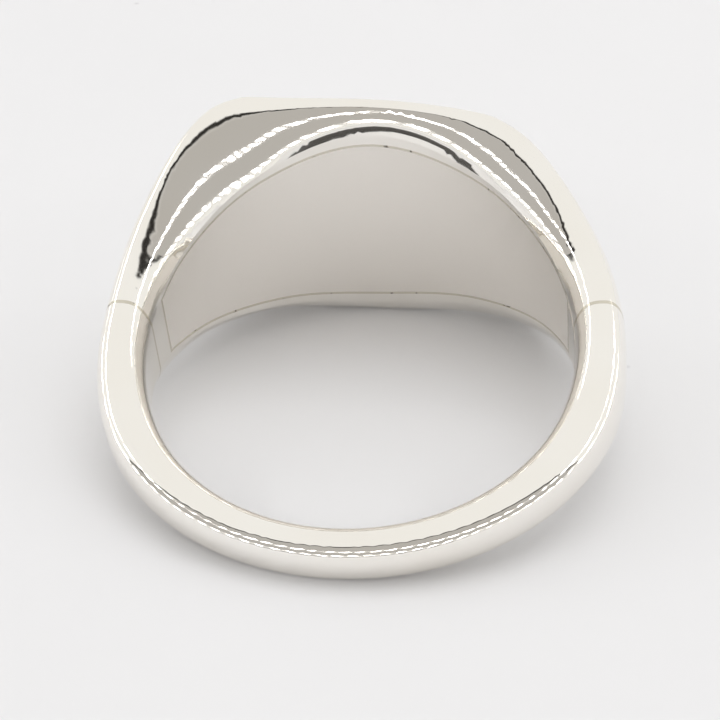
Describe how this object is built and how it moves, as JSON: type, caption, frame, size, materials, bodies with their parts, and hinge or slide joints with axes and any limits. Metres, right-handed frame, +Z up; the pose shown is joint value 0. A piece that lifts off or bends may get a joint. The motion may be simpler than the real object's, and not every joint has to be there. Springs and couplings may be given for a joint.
{
  "type": "signet ring",
  "caption": "Plain silver signet ring with a flat cushion-shaped face, full tapering shoulders and a slim rounded shank.",
  "frame": {"origin": "centre of the ring's box on the surface it rests on", "axes": "+Z up from that surface with the ring lying on its side; the face and head are towards +Y and the shank towards -Y; the bore axis leans back about 15 degrees from +Z towards -Y"},
  "size_m": [0.0214, 0.021, 0.0116],
  "materials": {
    "polished_silver": "mirror-polished sterling silver with fine wear scratches",
    "satin_silver": "satin sterling silver, finished with a bore mop",
    "silver_solder": "silver solder, polished flush with the metal beside it"
  },
  "bodies": {
    "root": {"signet_head": "polished_silver", "half_shank": "polished_silver", "bore_liner": "satin_silver", "liner_solder": "silver_solder", "left_shoulder_solder": "silver_solder", "right_shoulder_solder": "silver_solder"}
  },
  "joints": []
}
